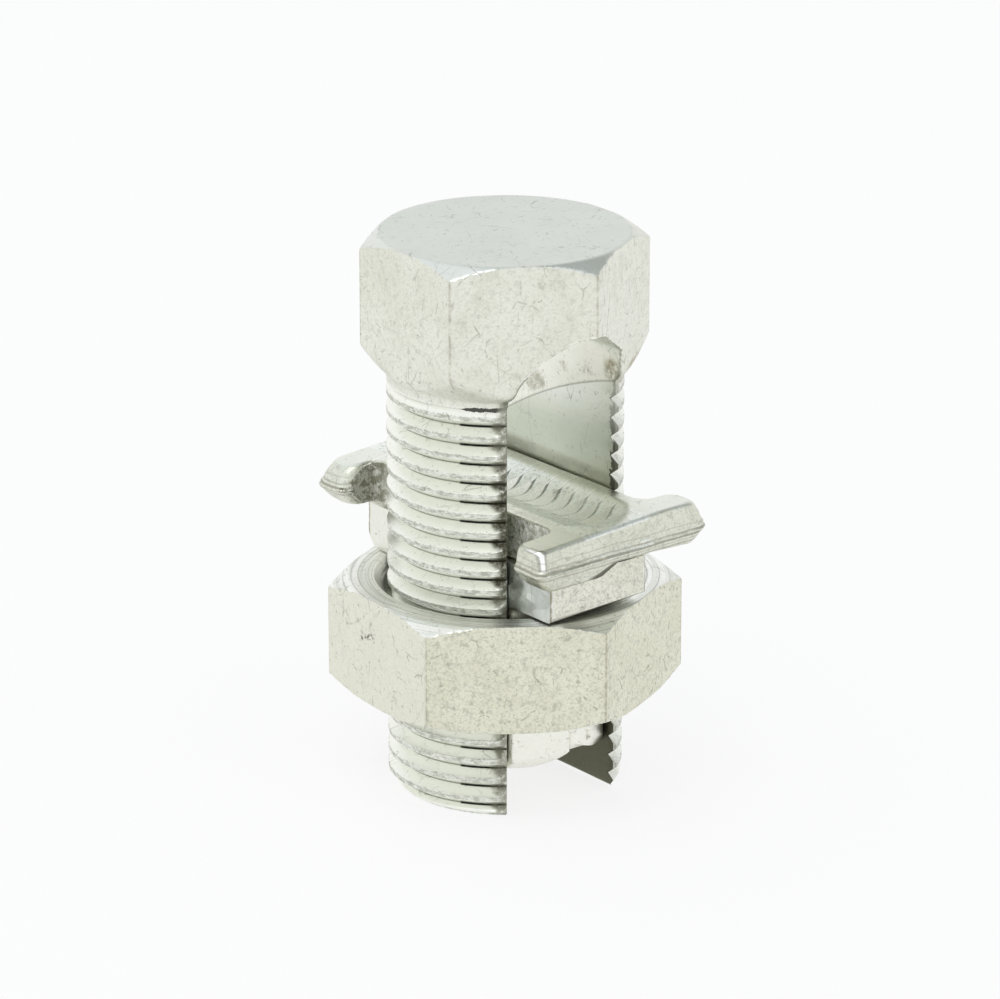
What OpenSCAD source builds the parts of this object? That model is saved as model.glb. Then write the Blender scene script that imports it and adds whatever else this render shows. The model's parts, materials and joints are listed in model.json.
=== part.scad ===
// Split bolt connector: a slotted hexagon-head bolt, a captive nut with its
// pressure bar, and a loose serrated spacer. Two wires lie across the slot,
// one above and one below the spacer, and the nut squeezes them together.
// The bolt stands on its two leg ends: +Z runs up the bolt's axis from the
// leg ends to the head, and the slot runs along Y between legs at -X and +X.

/* [Thread] */
// Diameter over the thread crests
thread_d = 21.9; // [21:0.1:23]
// Distance from one turn to the next
thread_pitch = 1.843; // [1.6:0.001:2]
// Depth of the V grooves
thread_depth = 1.15; // [0.6:0.05:1.2]
// Width of the flat left on each crest
crest_flat = 0.46; // [0.3:0.02:0.6]
// Bevel at the leg ends
leg_bevel = 1; // [0.6:0.1:1.6]

/* [Bolt] */
// Height from the leg ends to the top of the head
bolt_h = 53.35; // [52:0.05:58]
// Height of the head over its flats, underside cone included
head_h = 13.15; // [12:0.05:14]
// Width of the head across its flats
head_flats = 23.2; // [23:0.1:25]
// Height of the bevel around the top of the head
head_bevel_h = 1.13; // [0.6:0.01:1.6]
// Height of the cone under the head
head_cone_h = 2.75; // [2:0.05:3.5]

/* [Slot] */
// Width of the slot between the legs
slot_w = 11.5; // [10.8:0.1:12]
// Height of the slot's straight walls above the leg ends
slot_wall_h = 43.2; // [40:0.1:44]
// Rise of the slot's pitched ceiling above the walls
slot_rise = 3.1; // [2.5:0.1:4]
// Radius at the peak of the ceiling
slot_peak_r = 4; // [3:0.1:5]
// Radius worn on the legs' slot edges
leg_edge_r = 1.05; // [0.6:0.05:1.3]

/* [Nut] */
// Width of the nut across its flats
nut_flats = 28.575; // [28:0.005:32]
// Thickness of the nut
nut_h = 10.4; // [9:0.1:12]
// Height of the nut's underside above the leg ends
nut_z = 9.75; // [8:0.05:11]
// Turn of the nut's corners away from the slot's line
nut_turn = -4.3; // [-29:0.1:30]
// Diameter of the bevel circle on each face of the nut
nut_bevel_d = 29; // [27.5:0.1:29.5]
// Height of that bevel at the corners
nut_bevel_h = 0.93; // [0.6:0.01:1.4]
// Diameter of the countersink on each face of the nut
nut_sink_d = 24.4; // [24:0.1:25.5]
// Gap between the thread crests and the bore of the nut
thread_gap = 0.12; // [0.1:0.01:0.3]

/* [Pressure bar] */
// Overhang of the bar past the head's corner at each end of the slot
bar_over = 0.3; // [0.2:0.1:1.5]
// Height of the bar
bar_h = 4.4; // [4:0.1:6]
// Gap on each side between the bar and the legs
bar_gap = 0.2; // [0.1:0.05:0.5]
// Radius along the bottom edge of the bar's back end
bar_back_r = 1.8; // [1:0.1:2.2]
// Radius along the bottom edge of the bar's front end
bar_front_r = 0.5; // [0.2:0.1:1]
// Diameter of the tongue's round ends, which turn inside the nut
tongue_d = 19.2; // [17:0.1:19.8]
// Height of the tongue's lower end above the leg ends
tongue_z = 4; // [2.5:0.1:6]
// Gap on each side between the tongue and the legs
tongue_gap = 0.35; // [0.2:0.05:0.8]

/* [Spacer] */
// Height of the spacer
spacer_h = 5; // [4.5:0.1:6]
// Length of the spacer over its wings
spacer_l = 34; // [33:0.1:37]
// Gap on each side between the spacer's web and the legs when it lies in the middle
spacer_gap = 0.55; // [0.2:0.05:0.8]
// Gap left where the leaning spacer comes closest to a leg
lean_gap = 0.07; // [0.05:0.01:0.1]
// Length of each wing across the slot
wing_l = 20.4; // [19:0.1:24]
// Width of each wing along the slot
wing_w = 4.3; // [3.6:0.1:4.8]
// Width of the trough along the top
trough_w = 7.4; // [6:0.1:8]
// Depth of the trough
trough_d = 0.8; // [0.4:0.1:1.2]
// Number of teeth bitten into the trough
tooth_count = 15; // [9:2:15]
// Distance from one tooth to the next
tooth_pitch = 1.8; // [1.7:0.05:1.9]
// Width of a tooth across the trough
tooth_w = 5.7; // [4.5:0.1:6]
// Length of a tooth along the trough
tooth_l = 1.3; // [1:0.1:1.5]
// Depth of a tooth at its curved end
tooth_d = 0.4; // [0.2:0.05:0.6]

/* [Hidden] */
$fn = 96;
eps = 0.01;
tin = "#d5d8cc";
tin_bright = "#dfe3df";

thread_r = thread_d / 2;
groove_w = thread_pitch - crest_flat;
head_z = bolt_h - head_h;
head_corner_r = head_flats / sqrt(3);
neck_h = 0.9;
first_groove_z = leg_bevel + groove_w / 2 + crest_flat / 2;
groove_count = floor((head_z - neck_h - first_groove_z - groove_w / 2) / thread_pitch) + 1;

slot_half = slot_w / 2;
slot_top_z = slot_wall_h + slot_rise;

nut_top_z = nut_z + nut_h;
nut_corner_r = nut_flats / sqrt(3);
bore_r = thread_r + thread_gap;
sink_h = nut_sink_d / 2 - bore_r;

seat_gap = 0.05;
bar_z = nut_top_z + seat_gap;
bar_top_z = bar_z + bar_h;
bar_half = head_corner_r + bar_over;
tongue_bevel = 0.5;

spacer_z = bar_top_z + seat_gap;
spacer_top_z = spacer_z + spacer_h;
web_w = slot_w - 2 * spacer_gap;
wing_y = spacer_l / 2 - wing_w / 2;
wing_corner_r = 1.1;
spacer_shift = spacer_gap / 2;
slot_end_y = sqrt(pow(thread_r, 2) - pow(slot_half, 2));
spacer_yaw = atan((spacer_gap - spacer_shift - lean_gap) / slot_end_y);
junction_r = 1.6;
trough_r = (pow(trough_w / 2, 2) + pow(trough_d, 2)) / (2 * trough_d);
tooth_r = (pow(tooth_w / 2, 2) + pow(tooth_l, 2)) / (2 * tooth_l);

// Points of an arc about c, from angle a0 to angle a1 in n steps
function arc(c, r, a0, a1, n) =
    [for (i = [0:n]) c + r * [cos(a0 + (a1 - a0) * i / n), sin(a0 + (a1 - a0) * i / n)]];

// ---- Split bolt ----

// One ring groove of the thread, cut into the blank at height z
function groove(z) = [
    [thread_r, z - groove_w / 2],
    [thread_r - thread_depth, z],
    [thread_r, z + groove_w / 2]
];

// The bolt's outline from the axis out, leg ends to head
module bolt_outline() {
    grooves = [for (i = [0:groove_count - 1]) each groove(first_groove_z + i * thread_pitch)];
    polygon(concat(
        [[0, 0], [thread_r - leg_bevel, 0], [thread_r, leg_bevel]],
        grooves,
        [
            [thread_r, head_z],
            [head_corner_r, head_z + head_cone_h],
            [head_corner_r, bolt_h - head_bevel_h],
            [head_flats / 2, bolt_h],
            [0, bolt_h]
        ]
    ));
}

// The slot seen along Y: straight walls and a pitched, round-peaked ceiling
module slot_outline() {
    peak = [0, slot_top_z - slot_peak_r];
    shoulder = [slot_half, slot_wall_h];
    reach = norm(shoulder - peak);
    a = atan2(shoulder.y - peak.y, shoulder.x) + acos(slot_peak_r / reach);
    polygon(concat(
        [[-slot_half, -1], [slot_half, -1], shoulder],
        arc(peak, slot_peak_r, a, 180 - a, 12),
        [[-slot_half, slot_wall_h]]
    ));
}

// What the rounding takes off one slot edge of a leg, seen from above
module leg_edge_outline() {
    c = [
        slot_half + leg_edge_r,
        sqrt(pow(thread_r - leg_edge_r, 2) - pow(slot_half + leg_edge_r, 2))
    ];
    a = atan2(c.y, c.x);
    rim = c + (leg_edge_r + 2) * [cos(a), sin(a)];
    polygon(concat(
        arc(c, leg_edge_r, 180, a, 6),
        [rim, [slot_half - 1, rim.y + 2], [slot_half - 1, c.y]]
    ));
}

module split_bolt() {
    color(tin) difference() {
        intersection() {
            rotate_extrude() bolt_outline();
            rotate(30) cylinder(r = head_corner_r, h = bolt_h, $fn = 6);
        }
        translate([0, bolt_h, 0]) rotate([90, 0, 0])
            linear_extrude(2 * bolt_h) slot_outline();
        for (side = [0, 1], end = [0, 1])
            mirror([side, 0, 0]) mirror([0, end, 0]) translate([0, 0, -1])
                linear_extrude(head_z + 1) leg_edge_outline();
    }
}

// ---- Nut ----

module nut() {
    half = nut_h / 2;
    color(tin) translate([0, 0, nut_z + half]) intersection() {
        rotate_extrude() polygon([
            [bore_r, sink_h - half],
            [nut_sink_d / 2, -half],
            [nut_bevel_d / 2, -half],
            [nut_corner_r, nut_bevel_h - half],
            [nut_corner_r, half - nut_bevel_h],
            [nut_bevel_d / 2, half],
            [nut_sink_d / 2, half],
            [bore_r, half - sink_h]
        ]);
        rotate(30 + nut_turn)
            cylinder(r = nut_corner_r, h = nut_h + 2, center = true, $fn = 6);
    }
}

// ---- Pressure bar ----

// The bar seen along X, with its two lower edges rounded
module bar_outline() {
    polygon(concat(
        [[bar_half, bar_h], [-bar_half, bar_h]],
        arc([bar_front_r - bar_half, bar_front_r], bar_front_r, 180, 270, 4),
        arc([bar_half - bar_back_r, bar_back_r], bar_back_r, -90, 0, 8)
    ));
}

// The tongue that hangs through the nut between the legs
module tongue() {
    r = tongue_d / 2;
    h = bar_z - tongue_z + 1;
    w = slot_w - 2 * tongue_gap;
    intersection() {
        rotate_extrude() polygon([
            [0, 0], [r - tongue_bevel, 0], [r, tongue_bevel], [r, h], [0, h]
        ]);
        translate([-w / 2, -r - 1, -1]) cube([w, 2 * r + 2, h + 2]);
    }
}

module pressure_bar() {
    w = slot_w - 2 * bar_gap;
    color(tin_bright) union() {
        translate([-w / 2, 0, bar_z]) rotate([90, 0, 90])
            linear_extrude(w) bar_outline();
        translate([0, 0, tongue_z]) tongue();
    }
}

// ---- Spacer ----

// A thin slice of a wing, drawn in from the ridge by one inset along the slot and one across it
module wing_slice(z, side_inset, end_inset) {
    r = wing_corner_r - side_inset / 3;
    x = wing_l / 2 - end_inset - r;
    y = wing_w / 2 - side_inset - r;
    translate([0, 0, z - eps / 2]) linear_extrude(eps) polygon(concat(
        arc([x, y], r, 0, 90, 6),
        arc([-x, y], r, 90, 180, 6),
        arc([-x, -y], r, 180, 270, 6),
        arc([x, -y], r, 270, 360, 6)
    ));
}

// One wing: a bar with soft edges and a moulding ridge a little below half its height
module wing() {
    hull() {
        wing_slice(eps, 0.8, 1.7);
        wing_slice(spacer_h * 0.2, 0.3, 0.7);
        wing_slice(spacer_h * 0.4, 0, 0);
        wing_slice(spacer_h * 0.8, 0.55, 0.5);
        wing_slice(spacer_h - eps, 1.15, 1);
    }
}

// The web between the wings, widened in a curve where it meets them
module web_outline() {
    x = web_w / 2;
    y = wing_y - wing_w / 2 + 0.4;
    polygon(concat(
        arc([x + junction_r, y - junction_r], junction_r, 180, 90, 5),
        arc([-x - junction_r, y - junction_r], junction_r, 90, 0, 5),
        arc([-x - junction_r, junction_r - y], junction_r, 0, -90, 5),
        arc([x + junction_r, junction_r - y], junction_r, 270, 180, 5)
    ));
}

// One tooth: a round chisel's bite, flat floor sloping down to a curved wall
module tooth() {
    slope = atan(tooth_d / tooth_l);
    floor_z = spacer_h - trough_d + (trough_r - sqrt(pow(trough_r, 2) - pow(tooth_w / 4, 2)));
    translate([0, tooth_l / 2, floor_z]) rotate([slope, 0, 0])
        translate([0, tooth_r - tooth_l, 0])
            cylinder(r = tooth_r, h = 3);
}

// The spacer lies against the play of the slot: shifted to one leg and turned a little
module spacer() {
    color(tin_bright) translate([spacer_shift, 0, spacer_z]) rotate(spacer_yaw) difference() {
        union() {
            linear_extrude(spacer_h) web_outline();
            for (end = [-1, 1]) translate([0, end * wing_y, 0]) wing();
        }
        translate([0, spacer_l, spacer_h - trough_d + trough_r])
            rotate([90, 0, 0]) cylinder(r = trough_r, h = 2 * spacer_l);
        for (i = [0:tooth_count - 1])
            translate([0, (i - (tooth_count - 1) / 2) * tooth_pitch, 0]) tooth();
    }
}

split_bolt();
nut();
pressure_bar();
spacer();
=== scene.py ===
"""Looks of the split bolt connector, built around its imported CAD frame.

Every piece is designed in millimetres. The threaded legs are swept meshes whose rows follow the
helix. The head, nut, pressure bar and spacer are distance fields, turned into meshes by dual
contouring, which keeps crisp edges crisp and worn edges round.
"""

import json
import math

import bmesh
import bpy
import numpy as np
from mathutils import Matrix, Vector


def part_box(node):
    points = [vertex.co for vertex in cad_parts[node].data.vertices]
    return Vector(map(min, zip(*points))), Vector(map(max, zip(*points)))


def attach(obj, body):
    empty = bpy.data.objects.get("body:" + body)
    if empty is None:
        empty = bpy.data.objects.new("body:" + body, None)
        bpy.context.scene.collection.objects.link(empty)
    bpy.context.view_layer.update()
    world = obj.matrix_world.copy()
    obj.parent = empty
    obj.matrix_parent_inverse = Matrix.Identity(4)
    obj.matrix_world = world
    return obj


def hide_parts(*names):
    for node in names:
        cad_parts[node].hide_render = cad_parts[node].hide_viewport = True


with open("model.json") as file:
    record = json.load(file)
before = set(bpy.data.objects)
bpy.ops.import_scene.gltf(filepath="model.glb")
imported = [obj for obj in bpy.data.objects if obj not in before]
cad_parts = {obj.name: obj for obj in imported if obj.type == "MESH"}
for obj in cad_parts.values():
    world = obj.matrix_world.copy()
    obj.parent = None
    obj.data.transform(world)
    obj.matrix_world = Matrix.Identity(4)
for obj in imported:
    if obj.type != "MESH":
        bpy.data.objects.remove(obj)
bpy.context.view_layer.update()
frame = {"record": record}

MM = 0.001


def node_box(name):
    """Lowest and highest corner of a CAD node, in millimetres."""
    lo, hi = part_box(name)
    return np.array(lo) / MM, np.array(hi) / MM


# ---- Sizes, in millimetres ----

bolt_lo, bolt_hi = node_box("split_bolt")
nut_lo, nut_hi = node_box("nut")
bar_lo, bar_hi = node_box("pressure_bar")
spacer_lo, spacer_hi = node_box("spacer")

behaviour = frame["record"]["behaviour"]
PITCH = abs(behaviour["couplings"][0]["ratio"]) * 2 * math.pi / MM

HEAD_FLATS = bolt_hi[0] - bolt_lo[0]
BOLT_TOP = bolt_hi[2]
HEAD_Z = BOLT_TOP - 13.15
HEAD_BEVEL_H = 1.13
HEAD_CONE_H = 2.75
THREAD_R = 10.95
THREAD_DEPTH = 1.12
CREST_FLAT = 0.46
LEG_BEVEL = 1.0
FOOT_R = 0.45
THREAD_START = 1.675
SLOT_HALF = 5.75
SLOT_WALL_TOP = BOLT_TOP - 10.15
PEAK_R = 4.0
PEAK_Z = BOLT_TOP - 7.05 - PEAK_R
JOIN_Z = HEAD_Z - 0.55
EDGE_R = {-1: 1.05, 1: 0.25}
LIP_LEVELS = [JOIN_Z, HEAD_Z + 1.4, SLOT_WALL_TOP + 0.2]
LIP_R = {-1: [EDGE_R[-1], 0.8, 0.2], 1: [EDGE_R[1], 0.4, 0.2]}

NUT_FLATS = 28.575
NUT_TURN = math.radians(-4.3)
NUT_BEVEL_R = 14.5
NUT_BEVEL_H = 0.93
NUT_SINK_R = 12.2
NUT_GAP = 0.12

TONGUE_R = 9.6
TONGUE_Z = bar_lo[2]
BAR_HALF = (bar_hi[0] - bar_lo[0]) / 2
BAR_Z = bar_hi[2] - 4.4


# ---- Fields ----


def length(*parts):
    return np.sqrt(sum(p * p for p in parts))


def softmin(a, b, k):
    """The smaller of two fields, with a fillet of about k where they meet."""
    h = np.maximum(k - np.abs(a - b), 0) / k
    return np.minimum(a, b) - h * h * k / 4


def softmax(a, b, k):
    return -softmin(-a, -b, k)


def gradient(field, x, y, z, step=1e-3):
    """Unit gradient of a field."""
    g = [
        field(x + step, y, z) - field(x - step, y, z),
        field(x, y + step, z) - field(x, y - step, z),
        field(x, y, z + step) - field(x, y, z - step),
    ]
    n = np.maximum(length(*g), 1e-9)
    return [c / n for c in g]


def rounded_cut(body, cutter, r):
    """A field of body minus cutter, with radius r(x, z) along the edge between them."""

    def field(x, y, z):
        rr = r(x, z)
        a = body(x, y, z) + rr
        b = rr - cutter(x, y, z)
        ga = gradient(body, x, y, z)
        gb = gradient(cutter, x, y, z)
        c = np.clip(-sum(p * q for p, q in zip(ga, gb)), -0.98, 0.98)
        corner = (a > c * b) & (b > c * a)
        reach = np.sqrt(np.maximum(a * a + b * b - 2 * c * a * b, 0) / (1 - c * c))
        return np.where(corner, reach, np.maximum(a, b)) - rr

    return field


def rounded_box(x, y, z, centre, half, r):
    q = [np.abs(p - c) - h + r for p, c, h in zip((x, y, z), centre, half)]
    outside = length(*[np.maximum(p, 0) for p in q])
    return outside + np.minimum(np.maximum(np.maximum(q[0], q[1]), q[2]), 0) - r


def hexagon(x, y, flats, turn=0.0, edge=0.14):
    """Field of a hexagonal prism about Z whose flats face turn, turn + 60 degrees and so on."""
    d = None
    for k in range(3):
        a = turn + k * math.pi / 3
        f = np.abs(x * math.cos(a) + y * math.sin(a)) - flats / 2
        d = f if d is None else softmax(d, f, edge)
    return d


def cone(r, z, point, slope):
    """Field of the side of a cone through point (r, z), whose surface runs along slope (dr, dz)."""
    n = (slope[1], -slope[0])
    s = math.hypot(*n)
    return ((r - point[0]) * n[0] + (z - point[1]) * n[1]) / s


def waviness(x, y, z, size, seed):
    """A smooth, slow wander of about -1 to 1 over the given size, from a few fixed waves."""
    rng = np.random.default_rng(seed)
    total = 0
    for _ in range(7):
        k = rng.normal(size=3)
        k *= rng.uniform(0.7, 1.6) * 2 * math.pi / size / np.linalg.norm(k)
        total = total + np.sin(k[0] * x + k[1] * y + k[2] * z + rng.uniform(0, 6.28))
    return total / 3.5


# ---- Dual contouring ----


def contour(field, lo, hi, h):
    """Vertices and quads of the field's zero surface, sampled every h between corners lo and hi."""
    lo, hi = np.array(lo, float), np.array(hi, float)
    n = np.ceil((hi - lo) / h).astype(int) + 1
    axes = [lo[i] + h * np.arange(n[i]) for i in range(3)]
    values = np.empty(n)
    for i in range(0, n[0], 24):
        grid = np.meshgrid(axes[0][i : i + 24], axes[1], axes[2], indexing="ij")
        values[i : i + 24] = field(*grid)
    inside = values < 0

    points, normals, cells, quads = [], [], [], []
    cell_n = n - 1

    def cell_id(i, j, k):
        return (i * cell_n[1] + j) * cell_n[2] + k

    for axis in range(3):
        one, two = (axis + 1) % 3, (axis + 2) % 3
        low = [slice(None)] * 3
        high = [slice(None)] * 3
        low[axis], high[axis] = slice(0, -1), slice(1, None)
        for other in (one, two):
            low[other] = high[other] = slice(1, -1)
        crossing = inside[tuple(low)] != inside[tuple(high)]
        index = np.argwhere(crossing)
        index[:, one] += 1
        index[:, two] += 1
        nxt = index.copy()
        nxt[:, axis] += 1
        v0 = values[tuple(index.T)]
        v1 = values[tuple(nxt.T)]
        t = v0 / (v0 - v1)
        base = lo + h * index
        for _ in range(2):
            p = base.copy()
            p[:, axis] += h * t
            v = field(p[:, 0], p[:, 1], p[:, 2])
            same = (v < 0) == (v0 < 0)
            span = np.where(same, v / (v - v1 + 1e-12), v / (v - v0 + 1e-12))
            t = np.where(same, t + (1 - t) * np.clip(span, 0, 1), t - t * np.clip(span, 0, 1))
        p = base.copy()
        p[:, axis] += h * t
        g = np.stack(gradient(field, p[:, 0], p[:, 1], p[:, 2]), axis=1)
        around = []
        for d1, d2 in ((-1, -1), (0, -1), (0, 0), (-1, 0)):
            c = index.copy()
            c[:, one] += d1
            c[:, two] += d2
            around.append(cell_id(c[:, 0], c[:, 1], c[:, 2]))
            points.append(p)
            normals.append(g)
            cells.append(around[-1])
        quad = np.stack(around, axis=1)
        flip = v0 > 0
        quad[flip] = quad[flip][:, ::-1]
        quads.append(quad)

    points, normals = np.concatenate(points), np.concatenate(normals)
    used, which = np.unique(np.concatenate(cells), return_inverse=True)
    m = len(used)
    count = np.bincount(which, minlength=m)[:, None]
    mean = np.stack([np.bincount(which, points[:, i], m) for i in range(3)], axis=1) / count
    rel = points - mean[which]
    along = (normals * rel).sum(1)
    a = np.empty((m, 3, 3))
    b = np.empty((m, 3))
    for i in range(3):
        b[:, i] = np.bincount(which, normals[:, i] * along, m)
        for j in range(3):
            a[:, i, j] = np.bincount(which, normals[:, i] * normals[:, j], m)
    w, v = np.linalg.eigh(a)
    keep = w > 0.06 * count
    inv = np.where(keep, 1 / np.maximum(w, 1e-9), 0)
    shift = np.einsum("mij,mj,mkj,mk->mi", v, inv, v, b)
    ids = [used // (cell_n[1] * cell_n[2]), used // cell_n[2] % cell_n[1], used % cell_n[2]]
    corner = lo + h * np.stack(ids, axis=1)
    verts = np.clip(mean + shift, corner - 0.05 * h, corner + 1.05 * h)
    lookup = np.searchsorted(used, np.concatenate(quads))
    return verts, lookup


def merge_close(mesh):
    """Closes rows of vertices that have collapsed onto each other."""
    bm = bmesh.new()
    bm.from_mesh(mesh)
    bmesh.ops.remove_doubles(bm, verts=bm.verts, dist=2e-6)
    bmesh.ops.dissolve_degenerate(bm, edges=bm.edges, dist=1e-7)
    bmesh.ops.recalc_face_normals(bm, faces=bm.faces)
    bm.to_mesh(mesh)
    bm.free()


def make_object(name, verts, faces, material, sharp, merge=False):
    """A mesh object from millimetre vertices, shaded smooth except over edges of sharp degrees."""
    mesh = bpy.data.meshes.new(name)
    mesh.from_pydata((np.asarray(verts) * MM).tolist(), [], [list(map(int, f)) for f in faces])
    mesh.validate()
    if merge:
        merge_close(mesh)
    mesh.shade_smooth()
    mesh.set_sharp_from_angle(angle=math.radians(sharp))
    mesh.materials.append(material)
    obj = bpy.data.objects.new(name, mesh)
    bpy.context.scene.collection.objects.link(obj)
    return obj


# ---- Bolt ----


def slot_field(x, z):
    """The slot seen along Y, negative inside: straight walls and a pitched, round-peaked ceiling."""
    shoulder = (SLOT_HALF, SLOT_WALL_TOP - PEAK_Z)
    a = math.atan2(shoulder[1], shoulder[0]) + math.acos(PEAK_R / math.hypot(*shoulder))
    qx, qz = np.abs(x), z - PEAK_Z
    plane = qx * math.cos(a) + qz * math.sin(a) - PEAK_R
    past = -qx * math.sin(a) + qz * math.cos(a) > 0
    roof = np.where(past, length(qx, qz) - PEAK_R, plane)
    return softmax(qx - SLOT_HALF, roof, np.where(x < 0, 2.4, 0.5))


def lip_radius(x, z):
    """Radius along the slot's edges: worn on the legs, smaller up the head, different on each side."""
    near, far = (np.interp(z, LIP_LEVELS, LIP_R[side]) for side in (-1, 1))
    return np.where(x < 0, near, far)


def thread_radius(z, theta, gap=0.0, top=1e9):
    """Radius of the threaded surface at height z and angle theta, dying out towards height top."""
    turn = ((z - THREAD_START) / PITCH - theta / (2 * math.pi)) % 1.0
    to_root = np.minimum(turn, 1 - turn) * PITCH
    groove = PITCH - CREST_FLAT
    depth = THREAD_DEPTH * np.clip(1 - to_root / (groove / 2), 0, 1)
    fade = np.clip((top - z) / 0.9, 0, 1)
    return THREAD_R - depth * fade + gap


def outer_field(x, y, z):
    """The bolt's head and neck before the slot is cut."""
    r = length(x, y)
    corner = HEAD_FLATS / math.sqrt(3)
    d = hexagon(x, y, HEAD_FLATS)
    bevel = cone(r, z, (HEAD_FLATS / 2, BOLT_TOP), (HEAD_FLATS / 2 - corner, HEAD_BEVEL_H))
    d = softmax(d, bevel, 0.2)
    d = softmax(d, z - BOLT_TOP, 0.15)
    d = softmax(d, cone(r, z, (THREAD_R, HEAD_Z), (corner - THREAD_R, HEAD_CONE_H)), 0.35)
    neck = np.maximum(r - THREAD_R, z - HEAD_Z - 2)
    return softmin(d, neck, 0.3)


def head_mesh():
    body = rounded_cut(outer_field, lambda x, y, z: slot_field(x, z), lip_radius)

    def field(x, y, z):
        return np.maximum(body(x, y, z), JOIN_Z - z)

    reach = HEAD_FLATS / math.sqrt(3) + 0.6
    low = (-HEAD_FLATS / 2 - 0.61, -reach, JOIN_Z - 0.52)
    high = (HEAD_FLATS / 2 + 0.6, reach, BOLT_TOP + 0.6)
    verts, faces = contour(field, low, high, h=0.25)
    verts[:, 2] = np.minimum(verts[:, 2], BOLT_TOP)
    return verts, faces


def leg_outline(r):
    """One leg's blank cross-section as (x, y) points, wall side last, with edge radius r, for +X."""
    cx = SLOT_HALF + r
    cy = math.sqrt((THREAD_R - r) ** 2 - cx**2)
    a0 = math.atan2(cy, cx)
    outer = [(THREAD_R * math.cos(a), THREAD_R * math.sin(a)) for a in np.linspace(-a0, a0, 57)]
    edge = [(cx + r * math.cos(a), cy + r * math.sin(a)) for a in np.linspace(a0, math.pi, 10)[1:]]
    wall = [(SLOT_HALF, y) for y in np.linspace(cy, -cy, 10)[1:-1]]
    mirror = [(x, -y) for x, y in reversed(edge)]
    return np.array(outer + edge + wall + mirror), len(outer) + len(edge), len(wall)


def leg_mesh(side):
    """One threaded leg; its rows of vertices climb with the helix."""
    outline, wall_from, wall_n = leg_outline(EDGE_R[side])
    theta = np.arctan2(outline[:, 1], outline[:, 0])
    blank = np.hypot(outline[:, 0], outline[:, 1])
    on_wall = np.zeros(len(outline), bool)
    on_wall[wall_from : wall_from + wall_n] = True
    world = theta + (math.pi if side < 0 else 0.0)
    crest = CREST_FLAT / 2 / PITCH
    marks = [0.0, 0.03, 0.09, 0.17, 0.26, 0.34, 0.5 - crest, 0.5, 0.5 + crest, 0.66, 0.74, 0.83, 0.91, 0.97]
    turns = int((JOIN_Z + 1) / PITCH) + 2
    rows = []
    for level in [k + m for k in range(-2, turns) for m in marks]:
        z = THREAD_START + PITCH * (level + world / (2 * math.pi))
        rows.append(np.clip(z, 0, JOIN_Z))
    rows = [z for z in rows if z.max() > 0 and z.min() < JOIN_Z]
    rows.insert(0, np.zeros(len(outline)))
    rows += [np.full(len(outline), JOIN_Z), np.full(len(outline), JOIN_Z + 0.25)]
    verts = []
    for i, z in enumerate(rows):
        threaded = thread_radius(z, world, top=HEAD_Z - 0.75)
        bevel = THREAD_R - LEG_BEVEL + z
        r = np.where(on_wall, blank, np.minimum(np.minimum(blank, threaded), bevel))
        scale = r / blank
        x, y = outline[:, 0] * scale, outline[:, 1] * scale
        foot = np.clip(FOOT_R - z, 0, FOOT_R)
        x = np.maximum(x, SLOT_HALF + FOOT_R - np.sqrt(FOOT_R**2 - foot**2))
        if i == len(rows) - 1:
            x, y = x + 0.03 * (7.9 - x), y * 0.997
        verts.append(np.stack([side * x, side * y, z], axis=1))
    m = len(outline)
    faces = []
    for i in range(len(rows) - 1):
        for j in range(m):
            k = (j + 1) % m
            faces.append((i * m + j, i * m + k, (i + 1) * m + k, (i + 1) * m + j))
    faces.append(tuple(range(m))[::-1])
    faces.append(tuple((len(rows) - 1) * m + j for j in range(m)))
    return np.concatenate(verts), faces


def join_meshes(parts):
    verts, faces, base = [], [], 0
    for v, f in parts:
        verts.append(np.asarray(v))
        faces += [tuple(int(i) + base for i in face) for face in f]
        base += len(v)
    return np.concatenate(verts), faces


def make_bolt(material):
    verts, faces = join_meshes([leg_mesh(1), leg_mesh(-1), head_mesh()])
    return make_object("split_bolt_looks", verts, faces, material, sharp=28, merge=True)


# ---- Nut ----


def nut_field(x, y, z):
    r = length(x, y)
    theta = np.arctan2(y, x)
    mid = (nut_lo[2] + nut_hi[2]) / 2
    half = (nut_hi[2] - nut_lo[2]) / 2
    up = np.abs(z - mid)
    corner = NUT_FLATS / math.sqrt(3)
    d = hexagon(x, y, NUT_FLATS, NUT_TURN)
    d = softmax(d, cone(r, up, (NUT_BEVEL_R, half), (NUT_BEVEL_R - corner, NUT_BEVEL_H)), 0.15)
    d = softmax(d, up - half, 0.12)
    bore = (thread_radius(z, theta, gap=NUT_GAP) - r) * math.cos(math.radians(30))
    minor = THREAD_R - THREAD_DEPTH + 0.25 - r
    sink = (NUT_SINK_R - (half - up) - r) / math.sqrt(2)
    return np.maximum(d, np.maximum(np.maximum(bore, minor), sink))


def make_nut(material):
    x, y, z = nut_hi[0] + 0.5, nut_hi[1] + 0.5, 0.45
    verts, faces = contour(nut_field, (-x, -y, nut_lo[2] - z), (x, y, nut_hi[2] + z), h=0.26)
    return make_object("nut_looks", verts, faces, material, sharp=30)


# ---- Pressure bar ----


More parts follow.
